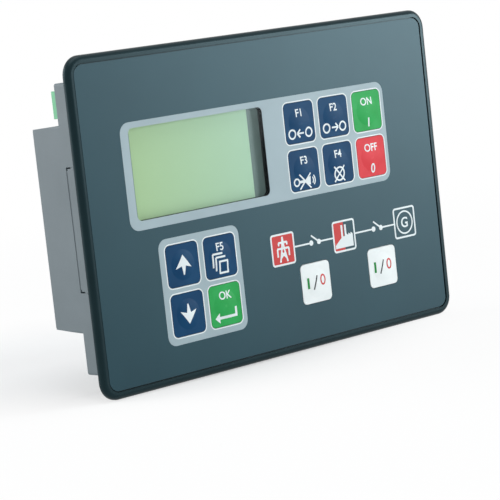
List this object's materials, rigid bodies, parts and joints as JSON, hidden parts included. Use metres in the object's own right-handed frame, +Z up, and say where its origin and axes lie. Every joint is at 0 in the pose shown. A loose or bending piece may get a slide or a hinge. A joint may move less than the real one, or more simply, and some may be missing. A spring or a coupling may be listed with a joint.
{
  "type": "genset controller",
  "caption": "Panel-mounted generator set controller with a rounded bezel, recessed display, film keypad, mimic diagram and a stepped rear housing with plug-in terminal headers.",
  "frame": {"origin": "middle of the panel seat, on the plane where the bezel's rear ring meets the panel", "axes": "+X to the right seen from the front, +Y into the panel, +Z up"},
  "size_m": [0.18, 0.0268, 0.12],
  "materials": {
    "bezel_plastic": "satin moulded black",
    "gasket_rubber": "soft black rubber",
    "keypad_film": "fine matt printed slate film",
    "clear_window": "clear pane",
    "key_blue": "printed navy film",
    "key_green": "printed green film",
    "key_red": "printed red film",
    "key_white": "printed white film",
    "seal_foam": "closed cell foam",
    "frame_steel": "black painted sheet",
    "display_cell": "yellow-green display cell",
    "light_guide": "diffusing acrylic",
    "circuit_board": "solder mask",
    "chip_black": "moulded black",
    "lamp_lens": "diffused lens",
    "battery_steel": "plated steel",
    "screw_steel": "zinc plated",
    "spacer_brass": "turned brass",
    "relay_case": "moulded blue case",
    "capacitor_sleeve": "shrink sleeve",
    "copper_winding": "enamelled copper",
    "header_green": "moulded green",
    "terminal_tin": "tinned pins",
    "housing_plastic": "finely sparked black-grey plastic",
    "black_screw": "blackened steel"
  },
  "bodies": {
    "housing": {"front_bezel": "bezel_plastic", "panel_gasket": "gasket_rubber", "keypad_film": "keypad_film", "display_window": "clear_window", "display_seal": "seal_foam", "display_frame": "frame_steel", "display_glass": "display_cell", "display_light_guide": "light_guide", "main_board": "circuit_board", "power_board": "circuit_board", "key_switches": "chip_black", "processor": "chip_black", "driver_chips": "chip_black", "battery_holder": "chip_black", "board_connector": "chip_black", "current_sensors": "chip_black", "port_core": "chip_black", "mimic_lamps": "lamp_lens", "clock_battery": "battery_steel", "board_screws": "screw_steel", "power_board_screws": "screw_steel", "port_nuts": "screw_steel", "port_shell": "screw_steel", "board_spacers": "spacer_brass", "output_relays": "relay_case", "supply_capacitors": "capacitor_sleeve", "supply_inductor": "copper_winding", "top_header_1": "header_green", "top_header_2": "header_green", "top_header_3": "header_green", "top_header_4": "header_green", "bottom_header_1": "header_green", "bottom_header_2": "header_green", "top_header_pins": "terminal_tin", "bottom_header_pins": "terminal_tin", "rear_cover": "housing_plastic", "cover_screws": "black_screw"},
    "key_up": {"key_up": "key_blue"},
    "key_page": {"key_page": "key_blue"},
    "key_down": {"key_down": "key_blue"},
    "key_enter": {"key_enter": "key_green"},
    "key_mode_left": {"key_mode_left": "key_blue"},
    "key_mode_right": {"key_mode_right": "key_blue"},
    "key_start": {"key_start": "key_green"},
    "key_horn_reset": {"key_horn_reset": "key_blue"},
    "key_fault_reset": {"key_fault_reset": "key_blue"},
    "key_stop": {"key_stop": "key_red"},
    "key_mains_breaker": {"key_mains_breaker": "key_white"},
    "key_generator_breaker": {"key_generator_breaker": "key_white"}
  },
  "joints": [
    {"name": "key_up_press", "type": "slide", "parent": "housing", "child": "key_up", "axis": [0, 1, 0], "range_m": [0, 0.0004], "stiffness_N_per_m": 4000},
    {"name": "key_page_press", "type": "slide", "parent": "housing", "child": "key_page", "axis": [0, 1, 0], "range_m": [0, 0.0004], "stiffness_N_per_m": 4000},
    {"name": "key_down_press", "type": "slide", "parent": "housing", "child": "key_down", "axis": [0, 1, 0], "range_m": [0, 0.0004], "stiffness_N_per_m": 4000},
    {"name": "key_enter_press", "type": "slide", "parent": "housing", "child": "key_enter", "axis": [0, 1, 0], "range_m": [0, 0.0004], "stiffness_N_per_m": 4000},
    {"name": "key_mode_left_press", "type": "slide", "parent": "housing", "child": "key_mode_left", "axis": [0, 1, 0], "range_m": [0, 0.0004], "stiffness_N_per_m": 4000},
    {"name": "key_mode_right_press", "type": "slide", "parent": "housing", "child": "key_mode_right", "axis": [0, 1, 0], "range_m": [0, 0.0004], "stiffness_N_per_m": 4000},
    {"name": "key_start_press", "type": "slide", "parent": "housing", "child": "key_start", "axis": [0, 1, 0], "range_m": [0, 0.0004], "stiffness_N_per_m": 4000},
    {"name": "key_horn_reset_press", "type": "slide", "parent": "housing", "child": "key_horn_reset", "axis": [0, 1, 0], "range_m": [0, 0.0004], "stiffness_N_per_m": 4000},
    {"name": "key_fault_reset_press", "type": "slide", "parent": "housing", "child": "key_fault_reset", "axis": [0, 1, 0], "range_m": [0, 0.0004], "stiffness_N_per_m": 4000},
    {"name": "key_stop_press", "type": "slide", "parent": "housing", "child": "key_stop", "axis": [0, 1, 0], "range_m": [0, 0.0004], "stiffness_N_per_m": 4000},
    {"name": "key_mains_breaker_press", "type": "slide", "parent": "housing", "child": "key_mains_breaker", "axis": [0, 1, 0], "range_m": [0, 0.0004], "stiffness_N_per_m": 4000},
    {"name": "key_generator_breaker_press", "type": "slide", "parent": "housing", "child": "key_generator_breaker", "axis": [0, 1, 0], "range_m": [0, 0.0004], "stiffness_N_per_m": 4000}
  ]
}
